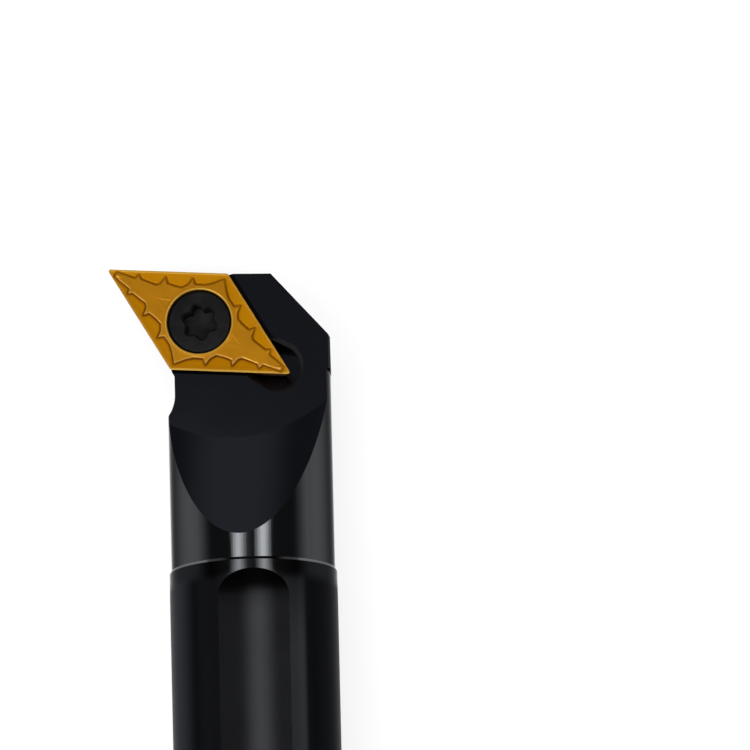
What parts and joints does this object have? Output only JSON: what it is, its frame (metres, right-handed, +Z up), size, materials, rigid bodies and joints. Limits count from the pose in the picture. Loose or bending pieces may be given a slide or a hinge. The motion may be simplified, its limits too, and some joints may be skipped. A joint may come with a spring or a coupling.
{
  "type": "boring bar",
  "caption": "Round-shank boring bar with a tilted head, a screw-clamped diamond-shaped insert at its side, clamping flats and a relieved neck.",
  "frame": {"origin": "centre of the shank's rear end face, on the bar's axis", "axes": "+Y along the bar from its rear end towards the head, +Z up from the axis on the side of the insert's top face and of the upper clamping flat, the cutting nose on the -X side"},
  "size_m": [0.0212, 0.18, 0.0157],
  "materials": {
    "black_steel": "satin black oxide on turned and milled steel",
    "gold_coating": "golden coating on sintered carbide",
    "screw_steel": "dull black oxide on a cold-formed screw"
  },
  "bodies": {
    "bar": {"bar": "black_steel"},
    "insert": {"insert": "gold_coating"},
    "clamp_screw": {"clamp_screw": "screw_steel"}
  },
  "joints": [
    {"name": "insert_lift", "type": "slide", "parent": "bar", "child": "insert", "axis": [-0.1045, 0, 0.9945], "range_m": [0, 0.00315]},
    {"name": "screw_turn", "type": "hinge", "parent": "insert", "child": "clamp_screw", "pos_m": [-0.00464, 0.17458, 0.00091], "axis": [-0.1045, 0, 0.9945], "range_deg": [0, 1620]}
  ],
  "couplings": [
    {"joint": "screw_turn", "follows": "insert_lift", "rad_per_m": 8976}
  ]
}
